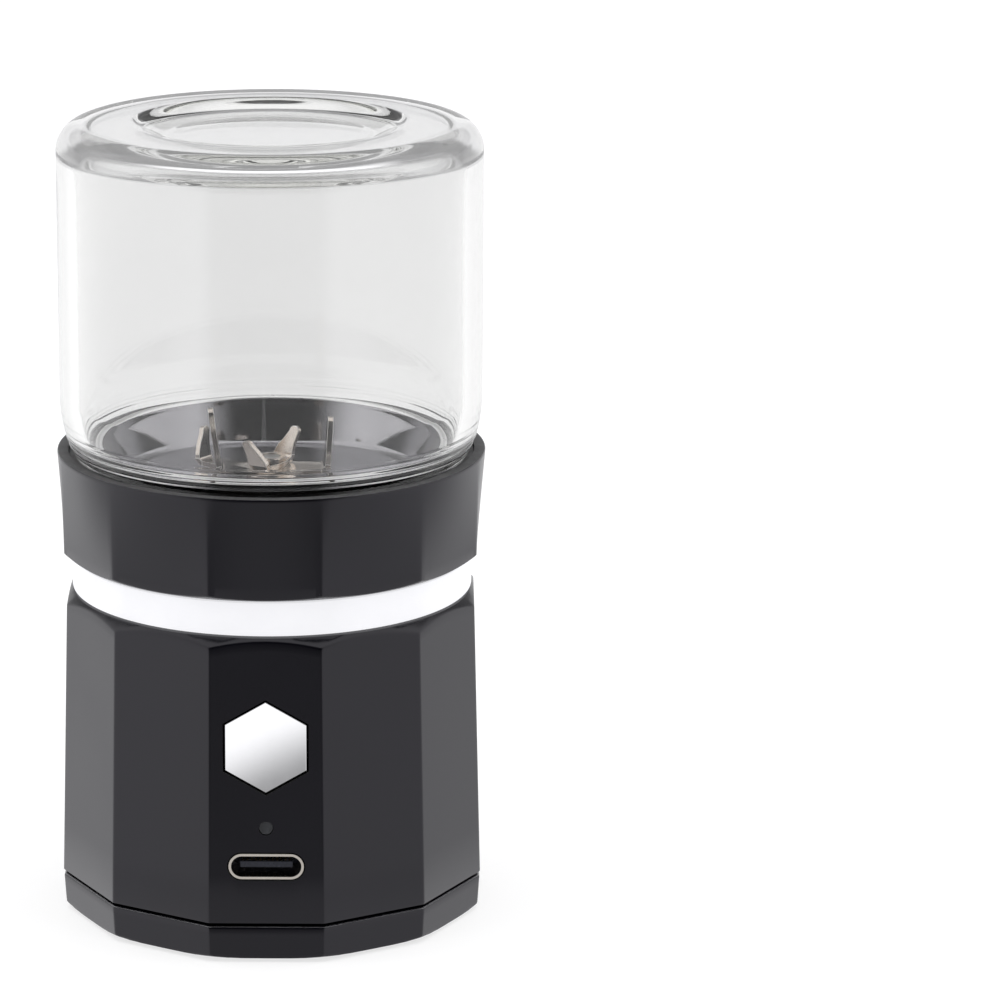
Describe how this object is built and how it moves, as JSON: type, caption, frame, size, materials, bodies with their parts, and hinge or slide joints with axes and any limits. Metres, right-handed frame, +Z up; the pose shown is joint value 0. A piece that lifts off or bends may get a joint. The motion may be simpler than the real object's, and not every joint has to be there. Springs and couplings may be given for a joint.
{
  "type": "rechargeable herb grinder",
  "caption": "Small rechargeable herb grinder: inverted clear glass jar over a steel dish with stacked bent-tip blades, white light ring, faceted black battery body with a push button.",
  "frame": {"origin": "centre of the resting plane under the four foot pads, on the axis of the blades", "axes": "+Z up along the blade axis towards the closed end of the jar; -Y is the front facet with the button and the charging socket"},
  "size_m": [0.052, 0.052, 0.0971],
  "materials": {
    "clear_glass": "polished",
    "satin_black": "satin",
    "matte_black": "moulded",
    "silicone_black": "matt",
    "white_diffuser": "frosted, lit from behind",
    "polished_steel": "polished",
    "blade_steel": "ground",
    "screw_steel": "plated",
    "motor_steel": "zinc plated",
    "mirror_button": "mirror polished",
    "clear_window": "moulded",
    "led_white": "moulded",
    "board_green": "solder mask",
    "chip_black": "moulded",
    "gold_contact": "plated",
    "wire_red": "insulation",
    "wire_blue": "insulation",
    "battery_foil": "foil",
    "foam_grey": "foam",
    "ferrite": "sintered",
    "copper_winding": "enamelled",
    "mount_alloy": "as cast"
  },
  "bodies": {
    "base": {"neck_gasket": "silicone_black", "collar": "satin_black", "collar_screws": "screw_steel", "light_ring": "white_diffuser", "led_board": "board_green", "led_chips": "led_white", "led_leads": "wire_red", "body_shell": "satin_black", "deck_screws": "screw_steel", "base_cap": "satin_black", "base_screws": "screw_steel", "foot_pads": "silicone_black", "switch_body": "motor_steel", "indicator_pipe": "clear_window", "indicator_led": "led_white", "usb_shell": "polished_steel", "usb_tongue": "matte_black", "usb_contacts": "gold_contact", "main_board": "board_green", "board_parts": "chip_black", "chassis": "matte_black", "battery_cell": "battery_foil", "battery_pad": "foam_grey", "battery_leads": "wire_red", "motor_can": "motor_steel", "motor_endcap": "matte_black", "motor_magnets": "ferrite", "motor_bushes": "gold_contact", "motor_terminals": "gold_contact", "motor_leads": "wire_blue", "motor_screws": "screw_steel", "motor_mount": "mount_alloy", "dish_pad": "silicone_black", "chamber_dish": "polished_steel", "shaft_seal": "silicone_black"},
    "jar": {"glass_jar": "clear_glass", "jar_seal": "silicone_black"},
    "spinner": {"motor_shaft": "screw_steel", "armature": "copper_winding", "commutator": "gold_contact", "blade_hub": "blade_steel", "blade_lower": "blade_steel", "blade_middle": "blade_steel", "blade_upper": "blade_steel", "blade_nut": "blade_steel"},
    "button": {"power_button": "mirror_button", "switch_plunger": "matte_black"}
  },
  "joints": [
    {"name": "blade_spin", "type": "hinge", "parent": "base", "child": "spinner", "pos_m": [0, 0, 0.0535], "axis": [0, 0, 1], "continuous": true},
    {"name": "jar_lift", "type": "slide", "parent": "base", "child": "jar", "axis": [0, 0, 1], "range_m": [0, 0.045]},
    {"name": "button_press", "type": "slide", "parent": "base", "child": "button", "axis": [0, 0.9996, -0.0265], "range_m": [0, 0.0006], "stiffness_N_per_m": 1500, "springref_m": -0.0006}
  ]
}
